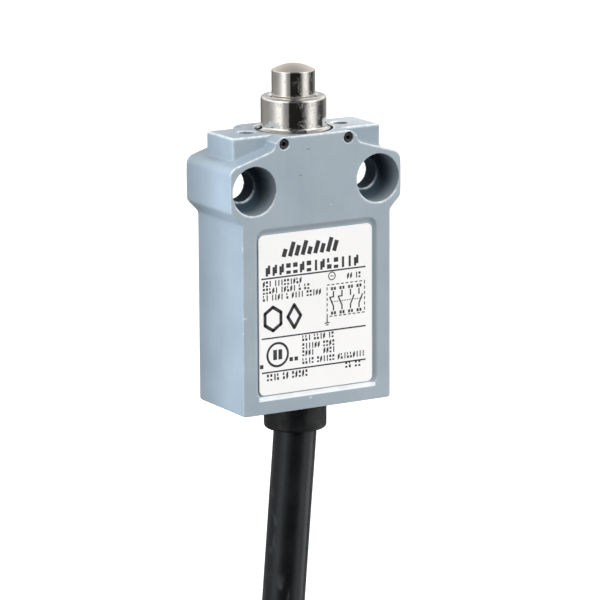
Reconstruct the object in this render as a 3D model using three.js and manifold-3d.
// Compact pre-wired limit switch with a domed top plunger, snap-action contacts and a moulded-in cable.
// Millimetres, +Z up. The origin is on the rear mounting face, midway between the two mounting holes:
// the front face looks towards -Y, and the plunger and the cable lie along Z.

import * as THREE from 'three';
import { mergeVertices } from 'three/addons/utils/BufferGeometryUtils.js';
import Module from 'manifold-3d';

const wasm = await Module();
wasm.setup();

// ---- driving dimensions ----

const GAP = 0.3; // clearance between neighbouring pieces

// housing
const HOLE_SPACING = 25;
const BODY_WIDTH = 30;
const EAR_WIDTH = 34.5;
const NECK_WIDTH = 16.4;
const THICKNESS = 16;
const BOTTOM_Z = -40;
const TOP_Z = 9;
const EAR_TOP_Z = 4.2; // height of the ear's sloped top at its outer side
const EAR_TOP_RISE = 2.75; // how much higher the slope is where it meets the neck
const EAR_BOTTOM_Z = -3.5;
const BLOCK_WIDTH = 29.8; // the wide block between the front and rear necks
const BLOCK_SETBACK = 3.3; // from the front face and from the rear face
const HOLE_RADIUS = 2.65;
const COUNTERBORE_RADIUS = 4.3;
const COUNTERBORE_DEPTH = 5;
const LAND_THICKNESS = 3.8; // what a mounting screw clamps
const POCKET_OUTER_X = { left: 15.9, right: 19 }; // the right ear's rear pocket is open to the side
const SEGMENTS = 32; // of the larger round features

// plunger and its guide, on a vertical axis in the middle of the thickness
const AXIS_Y = -THICKNESS / 2;
const PLUNGER_RADIUS = 3.85;
const PLUNGER_TOP_Z = 20.4;
const PLUNGER_EDGE_Z = 19.4;
const PLUNGER_TRAVEL = 4.5;
const CARRIAGE_TRAVEL = 1.35;
const BUSHING_RADIUS = 5.8;
const BUSHING_TOP_Z = 14.8;
const FOOT_RADIUS = 6.55;
const HEAD_BORE_RADIUS = 6.9;
const HEAD_BORE_FLOOR_Z = 3.4;
const GUIDE_BORE_RADIUS = 5;
const STEM_RADIUS = 1.9;
const LOCK_SCREW_X = 6.5;
const LOCK_BORE_RADIUS = 0.92;
const LOCK_SCREW_Z = 7.75;
const TOP_SCREW_X = 9.5;

// inner space, closed from the rear by a cover
const CAVITY_HALF_WIDTH = 12.2;
const CAVITY_TOP_Z = -6.5;
const CAVITY_BOTTOM_Z = -36.8;
const CAVITY_FRONT_Y = -14.1;
const LEDGE_MARGIN = 1.1; // the cover's seat is this much wider than the inner space
const LEDGE_Y = -2.4;
const COVER_SCREW_X = 11.3;
const COVER_SCREW_ZS = [-8.6, -35.6];

// contact block
const BLOCK_HALF_WIDTH = 11.6;
const BLOCK_TOP_Z = -10.9;
const BLOCK_BOTTOM_Z = -33.2;
const BLOCK_FRONT_Y = -13.8;
const BLOCK_REAR_Y = -3.6;
const ROWS = { front: -10.7, rear: -5.9 }; // the two rows of contacts
const STRIP_WIDTH = 3.2;
const STRIP_THICKNESS = 0.6;

// label
const LABEL_WIDTH = 23;
const LABEL_HEIGHT = 28;
const LABEL_CENTRE_Z = -22.4;
const RECESS_WIDTH = 24.6;
const RECESS_TOP_Z = -6.8;
const RECESS_BOTTOM_Z = -37.4;
const RECESS_DEPTH = 0.6;

// cable
const CABLE_DIAMETER = 7.8;
const GROMMET_RADIUS = 5.55;
const GROMMET_BOTTOM_Z = -44.8;
const COIL_CENTRE = new THREE.Vector3(-1.4, 0, -161.4);
// the cable's run below the grommet, straight down and then over to the coil's top, as [x, y, z]
const LEAD_ROUTE = [
  [0, -8, -45.1], [-0.2, -8, -48], [-0.95, -8, -56.8], [-1.8, -8, -67], [-2.75, -8.2, -77],
  [-3.4, -8.5, -83], [-4.85, -9, -90.6], [-7.05, -9.5, -96.1], [-9.08, -9.8, -99.66],
];
// the jacket's last stretch, beside the coil
const TAIL_ROUTE = [[-62.9, -34, -167.2], [-63.75, -34, -172.1], [-64.6, -34, -177.1]];

// ---- materials ----

const material = (color, roughness, metalness) =>
  new THREE.MeshStandardMaterial({ color, roughness, metalness });

const diecast = material(0x9fb0bb, 0.55, 0.25);
const nickel = material(0xc9c3b8, 0.22, 1);
const blackScrew = material(0x1b1c1e, 0.45, 0.8);
const steel = material(0xb9bcbf, 0.3, 1);
const springSteel = material(0x8f9296, 0.35, 1);
const contactMetal = material(0xc8a25a, 0.35, 1);
const rubber = material(0x151617, 0.8, 0);
const jacket = material(0x1a1b1d, 0.6, 0);
const thermoset = material(0x2a2b2e, 0.6, 0);
const carriageNylon = material(0xd8d3c4, 0.5, 0);
const paper = material(0xf3f4f2, 0.35, 0);
const tieNylon = material(0x101112, 0.5, 0);
const copperCores = material(0xb0672f, 0.5, 0.4);

// ---- building blocks ----

const group = new THREE.Group();

function add(name, geometry, surface) {
  const mesh = new THREE.Mesh(geometry, surface);
  mesh.name = name;
  group.add(mesh);
  return mesh;
}

/** A Manifold solid of a closed geometry. */
function solid(geometry) {
  const bare = geometry.clone();
  bare.deleteAttribute('normal');
  bare.deleteAttribute('uv');
  const merged = mergeVertices(bare, 1e-4);
  return new wasm.Manifold(new wasm.Mesh({
    numProp: 3,
    vertProperties: new Float32Array(merged.attributes.position.array),
    triVerts: new Uint32Array(merged.index.array),
  }));
}

/** The geometry of a Manifold solid. */
function geometryOf(manifold) {
  const mesh = manifold.getMesh();
  const geometry = new THREE.BufferGeometry();
  geometry.setAttribute('position', new THREE.BufferAttribute(mesh.vertProperties, 3));
  geometry.setIndex(new THREE.BufferAttribute(mesh.triVerts, 1));
  geometry.computeVertexNormals();
  return geometry;
}

const union = (...parts) => geometryOf(parts.map(solid).reduce((all, one) => all.add(one)));
const cut = (body, ...tools) =>
  geometryOf(tools.map(solid).reduce((left, tool) => left.subtract(tool), solid(body)));

/** A closed outline through corners [x, y, radius], each rounded by its own radius. */
function outline(corners) {
  const shape = new THREE.Shape();
  corners.forEach(([x, y, radius = 0], i) => {
    const corner = new THREE.Vector2(x, y);
    const neighbour = (step) => new THREE.Vector2(...corners.at((i + step) % corners.length));
    const toBefore = neighbour(-1).sub(corner).normalize();
    const toAfter = neighbour(1).sub(corner).normalize();
    const half = Math.acos(THREE.MathUtils.clamp(toBefore.dot(toAfter), -1, 1)) / 2;
    const reach = radius / Math.tan(half);
    const start = corner.clone().addScaledVector(toBefore, reach);
    const end = corner.clone().addScaledVector(toAfter, reach);
    if (i === 0) shape.moveTo(start.x, start.y);
    else shape.lineTo(start.x, start.y);
    if (radius > 0) {
      const inward = toBefore.clone().add(toAfter).normalize();
      const middle = corner.clone().addScaledVector(inward, radius / Math.sin(half));
      const clockwise = toBefore.cross(toAfter) > 0;
      const angle = (point) => Math.atan2(point.y - middle.y, point.x - middle.x);
      shape.absarc(middle.x, middle.y, radius, angle(start), angle(end), clockwise);
    }
  });
  shape.closePath();
  return shape;
}

const rectangle = (x0, y0, x1, y1, radius = 0) =>
  outline([[x0, y0, radius], [x1, y0, radius], [x1, y1, radius], [x0, y1, radius]]);

/** An outline in x and z, as thick as from y0 to y1. */
function alongY(shape, y0, y1, curveSegments = 6) {
  const depth = y1 - y0;
  const geometry = new THREE.ExtrudeGeometry(shape, { depth, bevelEnabled: false, curveSegments });
  return geometry.rotateX(Math.PI / 2).translate(0, y1, 0);
}

/** An outline in x and y, as high as from z0 to z1. */
function alongZ(shape, z0, z1, curveSegments = 6) {
  const depth = z1 - z0;
  const geometry = new THREE.ExtrudeGeometry(shape, { depth, bevelEnabled: false, curveSegments });
  return geometry.translate(0, 0, z0);
}

function box(x0, x1, y0, y1, z0, z1) {
  const geometry = new THREE.BoxGeometry(x1 - x0, y1 - y0, z1 - z0);
  return geometry.translate((x0 + x1) / 2, (y0 + y1) / 2, (z0 + z1) / 2);
}

/** A turned piece from [radius, z] points, on the vertical axis through x, y. */
function turnedZ(points, x = 0, y = AXIS_Y, segments = SEGMENTS) {
  const profile = points.map(([radius, z]) => new THREE.Vector2(radius, z));
  return new THREE.LatheGeometry(profile, segments).rotateX(Math.PI / 2).translate(x, y, 0);
}

/** A turned piece from [radius, y] points, on the front-to-rear axis through x, z. */
function turnedY(points, x, z, segments = SEGMENTS) {
  const profile = points.map(([radius, y]) => new THREE.Vector2(radius, y));
  return new THREE.LatheGeometry(profile, segments).translate(x, 0, z);
}

const rodZ = (radius, z0, z1, x, y, segments) =>
  turnedZ([[0, z0], [radius, z0], [radius, z1], [0, z1]], x, y, segments);
const rodY = (radius, y0, y1, x, z, segments) =>
  turnedY([[0, y0], [radius, y0], [radius, y1], [0, y1]], x, z, segments);
const ringZ = (inner, outer, z0, z1, x, y, segments) =>
  turnedZ([[inner, z0], [outer, z0], [outer, z1], [inner, z1], [inner, z0]], x, y, segments);

/** A tube along a curve, with closed ends. */
function tube(curve, radius, steps, sides) {
  const section = new THREE.Shape();
  for (let i = 0; i < sides; i += 1) {
    const angle = (2 * Math.PI * i) / sides;
    const point = [radius * Math.cos(angle), radius * Math.sin(angle)];
    if (i === 0) section.moveTo(...point);
    else section.lineTo(...point);
  }
  section.closePath();
  return new THREE.ExtrudeGeometry(section, { steps, extrudePath: curve });
}

/** The centre line of a compression spring on a vertical axis. */
class SpringCurve extends THREE.Curve {
  constructor(x, y, z0, z1, radius, turns) {
    super();
    Object.assign(this, { x, y, z0, z1, radius, turns });
  }

  getPoint(t, target = new THREE.Vector3()) {
    const angle = 2 * Math.PI * this.turns * t;
    return target.set(
      this.x + this.radius * Math.cos(angle),
      this.y + this.radius * Math.sin(angle),
      THREE.MathUtils.lerp(this.z0, this.z1, t),
    );
  }
}

/** A spring that fills the height from z0 to z1. */
function spring({ x = 0, y = AXIS_Y, z0, z1, radius, wire, turns, stepsPerTurn = 12, sides = 6 }) {
  const curve = new SpringCurve(x, y, z0 + wire, z1 - wire, radius, turns);
  return tube(curve, wire, Math.round(turns * stepsPerTurn), sides);
}

/** The cutter of a hexagon socket, centred on the end face that it opens in, along Y. */
function hexSocket(acrossCorners, depth) {
  return new THREE.CylinderGeometry(acrossCorners / 2, acrossCorners / 2, depth, 6);
}

// ---- housing: one die-casting with two ears, a neck at front and rear, and a wide block between ----

function housing() {
  const body = BODY_WIDTH / 2;
  const ear = EAR_WIDTH / 2;
  const neck = NECK_WIDTH / 2;
  const chamfer = ear - body;
  const half = [
    [body, BOTTOM_Z, 0.8],
    [body, EAR_BOTTOM_Z - chamfer, 1.2],
    [ear, EAR_BOTTOM_Z, 1.2],
    [ear, EAR_TOP_Z, 1.8],
    [neck, EAR_TOP_Z + EAR_TOP_RISE, 1.6],
    [neck, TOP_Z, 1.7],
  ];
  const mirrored = half.map(([x, z, radius]) => [-x, z, radius]).reverse();
  const plate = alongY(outline([...half, ...mirrored]), -THICKNESS, 0, 4);
  const wide = box(
    -BLOCK_WIDTH / 2, BLOCK_WIDTH / 2, BLOCK_SETBACK - THICKNESS, -BLOCK_SETBACK, EAR_TOP_Z - 2, TOP_Z,
  );

  const tools = [];
  const seatY = COUNTERBORE_DEPTH - THICKNESS;
  const pocketY = seatY + LAND_THICKNESS;
  for (const [name, side] of [['left', -1], ['right', 1]]) {
    const x = (side * HOLE_SPACING) / 2;
    tools.push(rodY(COUNTERBORE_RADIUS, -THICKNESS - 1, seatY, x, 0));
    tools.push(rodY(HOLE_RADIUS, seatY - 1, pocketY + 1, x, 0, 32));
    // the casting is cored from the rear behind each screw land
    const outer = POCKET_OUTER_X[name];
    const pocket = outline([
      [side * 5.7, -4.6, 0.8], [side * (outer - 1.1), -4.6, 0.8], [side * outer, -3.4, 0.8],
      [side * outer, 2.5, 0.8], [side * 5.7, 2.5, 0.8],
    ]);
    tools.push(alongY(pocket, pocketY, 1, 3));
    // bores of the guide's lock screws and of the screws in the top face
    const lockEndY = BLOCK_SETBACK - 10;
    tools.push(rodY(LOCK_BORE_RADIUS, -THICKNESS - 1, lockEndY, side * LOCK_SCREW_X, LOCK_SCREW_Z, 16));
    tools.push(rodZ(1.4, 5.4, TOP_Z + 1, side * TOP_SCREW_X, AXIS_Y, 20));
  }
  tools.push(rodZ(HEAD_BORE_RADIUS, HEAD_BORE_FLOOR_Z, TOP_Z + 1));
  tools.push(rodZ(GUIDE_BORE_RADIUS, CAVITY_TOP_Z - 1, HEAD_BORE_FLOOR_Z + 1));
  tools.push(rodZ(GROMMET_RADIUS + GAP, BOTTOM_Z - 1, CAVITY_BOTTOM_Z + 1, 0, AXIS_Y, 32));
  tools.push(rodZ(1.3, -39.3, CAVITY_BOTTOM_Z + 1, 7.1, AXIS_Y, 12));
  const cavity = rectangle(-CAVITY_HALF_WIDTH, CAVITY_BOTTOM_Z, CAVITY_HALF_WIDTH, CAVITY_TOP_Z, 1);
  const seat = rectangle(
    -CAVITY_HALF_WIDTH - LEDGE_MARGIN, CAVITY_BOTTOM_Z - LEDGE_MARGIN,
    CAVITY_HALF_WIDTH + LEDGE_MARGIN, CAVITY_TOP_Z + LEDGE_MARGIN - 0.4, 1.4,
  );
  const bosses = [-1, 1].flatMap((side) => COVER_SCREW_ZS.map((z) =>
    rodY(1.9, CAVITY_FRONT_Y - 0.5, LEDGE_Y, side * COVER_SCREW_X, z, 16)));
  const inside = bosses.map(solid).reduce(
    (space, boss) => space.subtract(boss),
    solid(alongY(cavity, CAVITY_FRONT_Y, 1, 3)),
  );
  const cutters = [...tools, alongY(seat, LEDGE_Y, 1, 3)].map(solid);
  for (const side of [-1, 1]) {
    for (const z of COVER_SCREW_ZS) {
      cutters.push(solid(rodY(0.95, -8, LEDGE_Y + 1, side * COVER_SCREW_X, z, 12)));
    }
  }
  const recess = rectangle(-RECESS_WIDTH / 2, RECESS_BOTTOM_Z, RECESS_WIDTH / 2, RECESS_TOP_Z, 2);
  cutters.push(solid(alongY(recess, -THICKNESS - 1, RECESS_DEPTH - THICKNESS, 3)));
  return geometryOf(cutters.reduce(
    (left, tool) => left.subtract(tool),
    solid(plate).add(solid(wide)).subtract(inside),
  ));
}

add('housing', housing(), diecast);

// ---- rear cover, its gasket and screws ----

function coverOutline(margin, radius) {
  return rectangle(
    -CAVITY_HALF_WIDTH - margin, CAVITY_BOTTOM_Z - margin,
    CAVITY_HALF_WIDTH + margin, CAVITY_TOP_Z + margin - 0.4, radius,
  );
}

const coverScrewPlaces = [-1, 1].flatMap((side) =>
  COVER_SCREW_ZS.map((z) => [side * COVER_SCREW_X, z]));
const coverMargin = LEDGE_MARGIN - GAP;
const countersink = [[0, -2], [1.15, -2], [1.15, -1], [2, -0.1], [2, 0.5], [0, 0.5]];
add('rear_cover', cut(
  alongY(coverOutline(coverMargin, 1.1), -1.3, -0.2, 3),
  ...coverScrewPlaces.map(([x, z]) => turnedY(countersink, x, z, 12)),
), diecast);

const gasketFrame = alongY(coverOutline(coverMargin, 1.1), -2.1, -1.6, 3);
const gasketWindow = rectangle(-9, CAVITY_BOTTOM_Z + 3.4, 9, CAVITY_TOP_Z - 3.8, 1);
add('rear_gasket', cut(
  gasketFrame,
  alongY(gasketWindow, -3, 0, 3),
  ...coverScrewPlaces.map(([x, z]) => rodY(1.15, -3, 0, x, z, 12)),
), rubber);

coverScrewPlaces.forEach(([x, z], i) => {
  const body = turnedY([[0, -7.5], [0.65, -7.5], [0.65, -1.1], [1.55, -0.35], [0, -0.35]], x, z, 16);
  const socket = hexSocket(1.2, 1).translate(x, -0.45, z);
  add(`cover_screw_${i + 1}`, cut(body, socket), steel);
});

// ---- plunger guide, seals and lock screws ----

/** Points of an arc about a centre, from one angle to another in degrees. */
function arc(centreRadius, centreZ, radius, from, to, steps) {
  return Array.from({ length: steps + 1 }, (_, i) => {
    const angle = THREE.MathUtils.degToRad(THREE.MathUtils.lerp(from, to, i / steps));
    return [centreRadius + radius * Math.cos(angle), centreZ + radius * Math.sin(angle)];
  });
}

const bushingBore = PLUNGER_RADIUS + GAP;
const bushingBottomZ = 4.6;
const footZ = 8.95;
const flareRadius = 0.75;
const bushingProfile = [
  [bushingBore, bushingBottomZ],
  [6.5, bushingBottomZ],
  [6.5, 6.4],
  [5.1, 6.4],
  [5.1, footZ],
  [FOOT_RADIUS, footZ],
  ...arc(FOOT_RADIUS, footZ + 0.6 + flareRadius, flareRadius, 270, 180, 3),
  ...arc(BUSHING_RADIUS - 0.7, BUSHING_TOP_Z - 0.7, 0.7, 0, 90, 3),
  [bushingBore + 0.35, BUSHING_TOP_Z],
  [bushingBore, BUSHING_TOP_Z - 0.35],
  [bushingBore, 12.9],
  [5.2, 12.9],
  [5.2, 11.4],
  [bushingBore, 11.4],
  [bushingBore, bushingBottomZ],
];
add('plunger_guide', turnedZ(bushingProfile), nickel);
add('guide_seal', ringZ(5.2, 6.4, HEAD_BORE_FLOOR_Z + GAP, bushingBottomZ - GAP), rubber);
add('plunger_wiper', ringZ(bushingBore, 4.9, 11.7, 12.6), rubber);

[['left', -1], ['right', 1]].forEach(([name, side]) => {
  const lockX = side * LOCK_SCREW_X;
  const lockScrew = rodY(LOCK_BORE_RADIUS - GAP, -15.6, -7.3, lockX, LOCK_SCREW_Z, 16);
  const lockSocket = hexSocket(0.7, 1.6).rotateY(0.3).translate(lockX, -15.6, LOCK_SCREW_Z);
  add(`guide_lock_screw_${name}`, cut(lockScrew, lockSocket), blackScrew);

  const topX = side * TOP_SCREW_X;
  const topScrew = rodZ(1.1, 5.7, 7.9, topX, AXIS_Y, 16);
  const topSocket = hexSocket(1.1, 1.6).rotateX(Math.PI / 2).translate(topX, AXIS_Y, 7.9);
  add(`top_screw_${name}`, cut(topScrew, topSocket), blackScrew);
});

// ---- plunger, return spring and overtravel spring ----

const collarTopZ = bushingBottomZ - GAP;
const collarBottomZ = collarTopZ - 1.2;
const stemBottomZ = -11.5;
const domeEdgeRadius = PLUNGER_RADIUS - 0.25;
const domeRise = PLUNGER_TOP_Z - PLUNGER_EDGE_Z;
const domeRadius = (domeEdgeRadius ** 2 + domeRise ** 2) / (2 * domeRise);
const domeHalfAngle = THREE.MathUtils.radToDeg(Math.asin(domeEdgeRadius / domeRadius));
const dome = arc(0, PLUNGER_TOP_Z - domeRadius, domeRadius, 90 - domeHalfAngle, 90, 4);
dome[4][0] = 0; // exactly on the axis
add('plunger', turnedZ([
  [0, stemBottomZ],
  [STEM_RADIUS, stemBottomZ],
  [STEM_RADIUS, collarBottomZ],
  [4.7, collarBottomZ],
  [4.7, collarTopZ],
  [PLUNGER_RADIUS, collarTopZ],
  [PLUNGER_RADIUS, PLUNGER_EDGE_Z - 0.25],
  ...dome,
]), nickel);

const springSeatZ = BLOCK_TOP_Z + GAP;
add('spring_seat', ringZ(2.4, 4.7, springSeatZ, springSeatZ + 0.7, 0, AXIS_Y, 24), steel);
add('return_spring', spring({
  z0: springSeatZ + 0.7 + GAP, z1: collarBottomZ - GAP, radius: 3.5, wire: 0.35, turns: 6.5,
}), springSteel);

const carriageTopZ = -17.3;
add('overtravel_spring', spring({
  z0: carriageTopZ + GAP, z1: stemBottomZ - GAP, radius: 1.35, wire: 0.25, turns: 4.5, stepsPerTurn: 10,
}), springSteel);

// ---- contact block ----

const blockWall = 0.8;
const pocketTopZ = BLOCK_TOP_Z - blockWall;
const pocketBottomZ = BLOCK_BOTTOM_Z + blockWall;
const pocketHalfWidth = BLOCK_HALF_WIDTH - blockWall;
add('contact_block_base', cut(
  box(-BLOCK_HALF_WIDTH, BLOCK_HALF_WIDTH, BLOCK_FRONT_Y, BLOCK_REAR_Y, BLOCK_BOTTOM_Z, BLOCK_TOP_Z),
  box(-pocketHalfWidth, pocketHalfWidth, BLOCK_FRONT_Y + blockWall, 0, pocketBottomZ, pocketTopZ),
  rodZ(2.3, pocketTopZ - 1, 0, 0, AXIS_Y, 20),
  box(-9, 9, -12, -5, BLOCK_BOTTOM_Z - 1, pocketBottomZ + 1),
), thermoset);
add('contact_block_cover', alongY(
  rectangle(-BLOCK_HALF_WIDTH, BLOCK_BOTTOM_Z, BLOCK_HALF_WIDTH, BLOCK_TOP_Z, 0.8),
  BLOCK_REAR_Y + GAP,
  BLOCK_REAR_Y + 1,
  2,
), thermoset);

// the carriage has a window for each moving contact bridge and its spring
const carriageBottomZ = -30.5;
const windows = { nc: { bottom: -24.4, top: -20.1 }, no: { bottom: -29.4, top: -25.3 } };
const bridgeZ = { nc: -21.2, no: -29.1 }; // underside of each bridge
const rowWindow = (row, { bottom, top }) => box(-3, 3, ROWS[row] - 1.9, ROWS[row] + 1.9, bottom, top);
add('contact_carriage', cut(
  union(
    box(-2, 2, -12.7, -3.9, carriageBottomZ, carriageTopZ),
    rodZ(0.8, carriageTopZ - 1, carriageTopZ + 1.6, 0, AXIS_Y, 12),
  ),
  ...Object.keys(ROWS).flatMap((row) => Object.values(windows).map((window) => rowWindow(row, window))),
), carriageNylon);

/** A contact strip in x and z from its bottom z, with round contact buttons on one side. */
function withButtons(strip, y, buttonXs, z0, z1) {
  return union(strip, ...buttonXs.map((x) => rodZ(0.9, z0, z1, x, y, 12)));
}

const buttonX = 6.4;
for (const [row, y] of Object.entries(ROWS)) {
  for (const kind of ['nc', 'no']) {
    const z = bridgeZ[kind];
    const strip = box(-8, 8, y - STRIP_WIDTH / 2, y + STRIP_WIDTH / 2, z, z + STRIP_THICKNESS);
    const opens = kind === 'nc';
    const [low, high] = opens ? [z + 0.3, z + STRIP_THICKNESS + 0.35] : [z - 0.35, z + 0.3];
    add(`bridge_${kind}_${row}`, withButtons(strip, y, [-buttonX, buttonX], low, high), contactMetal);

    const window = windows[kind];
    const z0 = opens ? window.bottom + GAP : z + STRIP_THICKNESS + GAP;
    const z1 = opens ? z - GAP : window.top - GAP;
    add(`bridge_spring_${kind}_${row}`, spring({
      y, z0, z1, radius: 1, wire: 0.18, turns: 3, stepsPerTurn: 9, sides: 5,
    }), springSteel);
  }
}

// each fixed terminal carries a contact button and turns down or up along the block's side wall
const terminalOuterX = pocketHalfWidth - GAP;
const fixed = {
  nc: { z: -19.6, buttons: [-19.95, -19.3], legTo: -24.8 },
  no: { z: -32, buttons: [-31.7, -31.1], legTo: -26.6 },
};
for (const [row, y] of Object.entries(ROWS)) {
  for (const [kind, { z, buttons, legTo }] of Object.entries(fixed)) {
    for (const [name, side] of [['left', -1], ['right', 1]]) {
      const outer = side * terminalOuterX;
      const inner = side * (terminalOuterX - STRIP_THICKNESS);
      const [x0, x1] = [side * 5, outer].sort((a, b) => a - b);
      const [leg0, leg1] = [inner, outer].sort((a, b) => a - b);
      const [legLow, legHigh] = [legTo, z + STRIP_THICKNESS / 2].sort((a, b) => a - b);
      add(`terminal_${kind}_${row}_${name}`, union(
        box(x0, x1, y - STRIP_WIDTH / 2, y + STRIP_WIDTH / 2, z, z + STRIP_THICKNESS),
        box(leg0, leg1, y - STRIP_WIDTH / 2, y + STRIP_WIDTH / 2, legLow, legHigh),
        rodZ(0.9, ...buttons, side * buttonX, y, 12),
      ), contactMetal);
    }
  }
}

// ---- earth lug and screw on the floor of the inner space ----

const earthX = 7.1;
const lugZ = CAVITY_BOTTOM_Z + GAP;
add('earth_lug', ringZ(1.3, 1.75, lugZ, lugZ + 0.5, earthX, AXIS_Y, 16), contactMetal);
const earthHeadZ = lugZ + 0.5 + GAP;
const earthTopZ = earthHeadZ + 1;
const earthScrew = turnedZ([
  [0, -39], [1, -39], [1, earthHeadZ], [1.7, earthHeadZ], [1.7, earthTopZ], [0, earthTopZ],
], earthX, AXIS_Y, 16);
const earthSocket = hexSocket(1.6, 1).rotateX(Math.PI / 2).translate(earthX, AXIS_Y, earthTopZ);
add('earth_screw', cut(earthScrew, earthSocket), steel);

// ---- label ----

const labelHalf = { width: LABEL_WIDTH / 2, height: LABEL_HEIGHT / 2 };
add('rating_label', alongY(
  rectangle(
    -labelHalf.width, LABEL_CENTRE_Z - labelHalf.height,
    labelHalf.width, LABEL_CENTRE_Z + labelHalf.height, 1,
  ),
  -15.9,
  RECESS_DEPTH - THICKNESS - GAP,
  4,
), paper);

// ---- cable entry ----

const cableRadius = CABLE_DIAMETER / 2;
add('cable_grommet', turnedZ([
  [cableRadius + GAP, GROMMET_BOTTOM_Z],
  [GROMMET_RADIUS - 0.9, GROMMET_BOTTOM_Z],
  ...arc(GROMMET_RADIUS - 0.9, GROMMET_BOTTOM_Z + 0.9, 0.9, 292.5, 360, 3),
  [GROMMET_RADIUS, -36.8],
  [cableRadius + GAP, -36.8],
  [cableRadius + GAP, GROMMET_BOTTOM_Z],
]), rubber);
add('cable_entry', rodZ(cableRadius, -41.7, -34, 0, AXIS_Y, 24), jacket);
add('cable_clamp', ringZ(cableRadius + GAP, 5, -36.4, -34.2, 0, AXIS_Y, 24), steel);

// ---- free cable: lead, tied coil and bare end ----

const through = (points) =>
  new THREE.CatmullRomCurve3(points.map((point) => new THREE.Vector3(...point)));
add('cable_lead', tube(through(LEAD_ROUTE), cableRadius, 6, 12), jacket);
add('cable_tail', tube(through(TAIL_ROUTE), cableRadius, 2, 12), jacket);

// the coil's section, as [radius, y]: three layers of turns side by side
const COIL_MIDDLE = { radius: 46.8, y: -20 };
const coilSection = [
  [36, -35.5], [38.4, -37.9], [55.2, -37.9], [57.6, -35.5],
  [57.6, -8.5], [51.5, -2.1], [42.1, -2.1], [36, -8.5],
];
add('cable_coil', turnedY([...coilSection, coilSection[0]], COIL_CENTRE.x, COIL_CENTRE.z, 48), jacket);

/** The coil's section grown by a margin, as an outline in radius and y. */
function grownSection(margin) {
  return coilSection.map(([radius, y]) => [
    radius + margin * Math.sign(radius - COIL_MIDDLE.radius),
    y + margin * Math.sign(y - COIL_MIDDLE.y),
  ]);
}

const TIE_WIDTH = 4.8;
const TIE_THICKNESS = 1.3;
const TIE_CLEARANCE = 0.4;
const tieAngles = [60, 210, 330];
tieAngles.forEach((degrees, i) => {
  const band = outline(grownSection(TIE_CLEARANCE + TIE_THICKNESS));
  band.holes.push(outline(grownSection(TIE_CLEARANCE)));
  const mesh = add(`coil_tie_${i + 1}`, alongZ(band, -TIE_WIDTH / 2, TIE_WIDTH / 2), tieNylon);
  mesh.position.copy(COIL_CENTRE);
  mesh.rotation.y = -THREE.MathUtils.degToRad(degrees);
});

// the nine stripped cores below the jacket's end, as one tapered bundle
add('core_bundle', turnedZ([
  [0, -208], [4.2, -208], [4.8, -196], [3.2, -180], [2.9, -177.6], [0, -177.6],
], -65.2, TAIL_ROUTE[0][1], 16), copperCores);

export default group;
